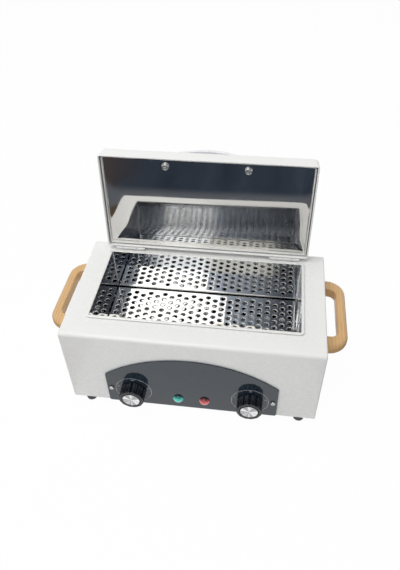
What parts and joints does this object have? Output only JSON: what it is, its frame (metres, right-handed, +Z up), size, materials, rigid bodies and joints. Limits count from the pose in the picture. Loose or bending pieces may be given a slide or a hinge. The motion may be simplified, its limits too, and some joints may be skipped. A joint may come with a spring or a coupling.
{
  "type": "dry heat sterilizer",
  "caption": "Bench-top dry heat sterilizer with a hinged lid, a stainless chamber over a tubular heater, a perforated floor, a control panel and wooden side handles.",
  "frame": {"origin": "on the ground under the middle of the bounding box, with the lid open", "axes": "+X to the right as the front is seen, +Y towards the hinged back, +Z up"},
  "size_m": [0.3542, 0.2232, 0.2599],
  "materials": {
    "white_paint": "smooth semi-gloss powder coat",
    "stainless": "bright polished stainless sheet",
    "mirror_stainless": "mirror-bright stainless sheet, slightly wavy",
    "screw_steel": "plated",
    "zinc_plate": "zinc plated sheet",
    "panel_grey": "glossy slate grey",
    "knob_black": "fluted, semi-gloss",
    "spun_aluminium": "spun, with radial highlights",
    "wood": "varnished beech",
    "handle_plastic": "pale, smooth",
    "green_lens": "translucent lamp lens",
    "red_lens": "translucent lamp lens",
    "dark_plastic": "matt black",
    "rubber": "matt dark grey",
    "insulation": "mineral wool felt",
    "ceramic": "unglazed ceramic"
  },
  "bodies": {
    "body": {"base_plate": "zinc_plate", "chamber_tank": "stainless", "control_panel": "panel_grey", "element_nut_front": "zinc_plate", "element_nut_rear": "zinc_plate", "element_rest_left": "stainless", "element_rest_right": "stainless", "foot_front_left": "rubber", "foot_front_right": "rubber", "foot_rear_left": "rubber", "foot_rear_right": "rubber", "foot_screw_front_left": "screw_steel", "foot_screw_front_right": "screw_steel", "foot_screw_rear_left": "screw_steel", "foot_screw_rear_right": "screw_steel", "green_lamp_holder": "dark_plastic", "green_lamp_lens": "green_lens", "handle_screw_left_front": "screw_steel", "handle_screw_left_rear": "screw_steel", "handle_screw_right_front": "screw_steel", "handle_screw_right_rear": "screw_steel", "heating_element": "screw_steel", "hinge_body_leaf_left": "white_paint", "hinge_body_leaf_right": "white_paint", "hinge_pin_left": "screw_steel", "hinge_pin_right": "screw_steel", "inlet_screw_left": "screw_steel", "inlet_screw_right": "screw_steel", "insulation_jacket": "insulation", "outer_casing": "white_paint", "panel_screw_left": "screw_steel", "panel_screw_right": "screw_steel", "perforated_floor": "stainless", "power_inlet": "dark_plastic", "red_lamp_holder": "dark_plastic", "red_lamp_lens": "red_lens", "side_handle_left": "wood", "side_handle_right": "wood", "terminal_block": "ceramic", "thermal_cutout": "dark_plastic", "thermostat_unit": "zinc_plate", "timer_unit": "zinc_plate"},
    "lid": {"hinge_lid_leaf_left": "white_paint", "hinge_lid_leaf_right": "white_paint", "lid_handle": "handle_plastic", "lid_handle_screw_left": "screw_steel", "lid_handle_screw_right": "screw_steel", "lid_liner": "mirror_stainless", "lid_pad": "insulation", "lid_shell": "white_paint"},
    "thermostat": {"thermostat_knob": "knob_black", "thermostat_knob_cap": "spun_aluminium", "thermostat_shaft": "screw_steel"},
    "timer": {"timer_knob": "knob_black", "timer_knob_cap": "spun_aluminium", "timer_shaft": "screw_steel"}
  },
  "joints": [
    {"name": "lid_hinge", "type": "hinge", "parent": "body", "child": "lid", "pos_m": [0, 0.05946, 0.1307], "axis": [1, 0, 0], "range_deg": [0, 95.5]},
    {"name": "thermostat_turn", "type": "hinge", "parent": "body", "child": "thermostat", "pos_m": [-0.0705, -0.09599, 0.0375], "axis": [0, 1, 0], "range_deg": [0, 300]},
    {"name": "timer_turn", "type": "hinge", "parent": "body", "child": "timer", "pos_m": [0.0705, -0.09599, 0.0375], "axis": [0, 1, 0], "range_deg": [0, 300]}
  ]
}
